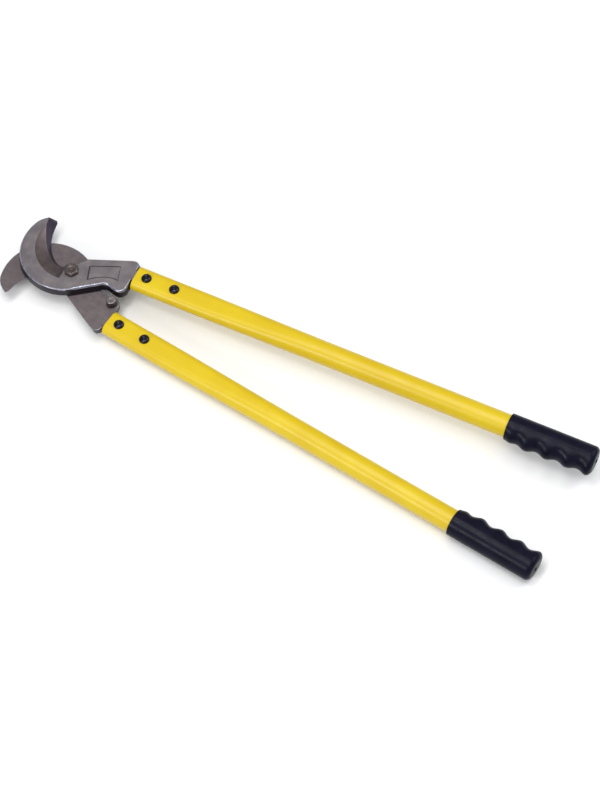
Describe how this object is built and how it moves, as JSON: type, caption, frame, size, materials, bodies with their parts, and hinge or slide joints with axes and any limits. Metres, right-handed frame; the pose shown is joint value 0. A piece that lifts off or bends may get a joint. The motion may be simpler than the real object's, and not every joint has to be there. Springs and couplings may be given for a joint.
{
  "type": "cable cutter",
  "caption": "Long-arm bypass cutter: two hooked steel jaws on one pivot bolt, bolted into flattened tube handles with moulded finger grips.",
  "frame": {"origin": "on the pivot axis, at the pivot bolt's end face, the lowest point of the tool as it lies", "axes": "+X along the middle line between the handles, towards the grips; +Y towards the upper handle; +Z along the pivot bolt, towards its head"},
  "size_m": [0.8506, 0.2074, 0.0542],
  "materials": {
    "forged_steel": "forged, shot-blasted and oiled, dark grey-brown",
    "yellow_powder_coat": "glossy powder coat",
    "black_vinyl": "glossy dipped vinyl",
    "black_oxide": "black oxide, oiled",
    "plain_steel": "plain turned steel"
  },
  "bodies": {
    "lower_half": {"lower_jaw": "forged_steel", "lower_tube": "yellow_powder_coat", "lower_grip": "black_vinyl", "lower_handle_screw_1": "black_oxide", "lower_handle_washer_1": "black_oxide", "lower_handle_nut_1": "black_oxide", "lower_handle_screw_2": "black_oxide", "lower_handle_washer_2": "black_oxide", "lower_handle_nut_2": "black_oxide", "pivot_bolt": "forged_steel", "pivot_washer": "plain_steel", "pivot_nut": "plain_steel", "stop_pin": "plain_steel"},
    "upper_half": {"upper_jaw": "forged_steel", "upper_tube": "yellow_powder_coat", "upper_grip": "black_vinyl", "upper_handle_screw_1": "black_oxide", "upper_handle_washer_1": "black_oxide", "upper_handle_nut_1": "black_oxide", "upper_handle_screw_2": "black_oxide", "upper_handle_washer_2": "black_oxide", "upper_handle_nut_2": "black_oxide"}
  },
  "joints": [
    {"name": "jaw_pivot", "type": "hinge", "parent": "lower_half", "child": "upper_half", "pos_m": [0, 0, 0.02845], "axis": [0, 0, 1], "range_deg": [-4.2, 120]}
  ]
}
